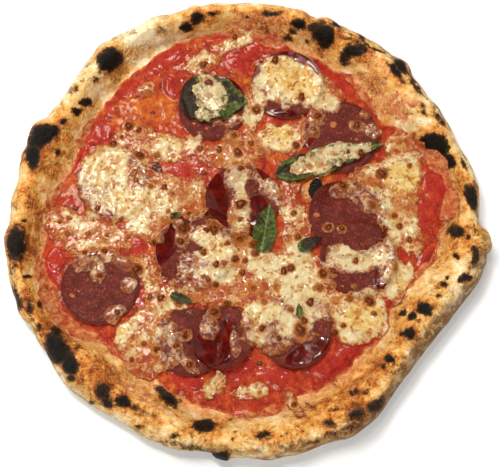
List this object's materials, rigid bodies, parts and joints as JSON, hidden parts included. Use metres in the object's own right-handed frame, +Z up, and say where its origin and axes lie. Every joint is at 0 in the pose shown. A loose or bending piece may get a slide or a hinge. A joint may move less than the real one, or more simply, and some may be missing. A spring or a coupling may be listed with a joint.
{
  "type": "salami pizza",
  "caption": "Whole round pizza with a puffed charred rim, tomato sauce, curled salami slices, melted cheese and basil leaves, lying flat on its base.",
  "frame": {"origin": "under the middle of the pizza, on the surface that it rests on", "axes": "+Z up, -Y the side nearest the viewer of the picture, +X to the viewer's right"},
  "size_m": [0.3104, 0.3059, 0.024],
  "materials": {
    "dough": "baked wheat dough, floury and toasted, with charred blisters",
    "sauce": "baked tomato sauce, oily",
    "salami": "baked salami, oily, with pale fat flecks",
    "cheese": "melted cheese with browned blisters, oily",
    "basil": "wilted basil leaf, veined, scorched at the edges"
  },
  "bodies": {
    "root": {"basil_01": "basil", "basil_02": "basil", "basil_03": "basil", "basil_04": "basil", "basil_05": "basil", "basil_06": "basil", "basil_07": "basil", "cheese_01": "cheese", "cheese_02": "cheese", "cheese_03": "cheese", "cheese_04": "cheese", "cheese_05": "cheese", "cheese_06": "cheese", "cheese_07": "cheese", "cheese_08": "cheese", "cheese_09": "cheese", "cheese_10": "cheese", "cheese_on_basil_01": "cheese", "cheese_on_basil_02": "cheese", "dough": "dough", "salami_01": "salami", "salami_02": "salami", "salami_03": "salami", "salami_04": "salami", "salami_05": "salami", "salami_06": "salami", "salami_07": "salami", "salami_08": "salami", "salami_09": "salami", "salami_10": "salami", "salami_11": "salami", "salami_12": "salami", "tomato_sauce": "sauce"}
  },
  "joints": []
}
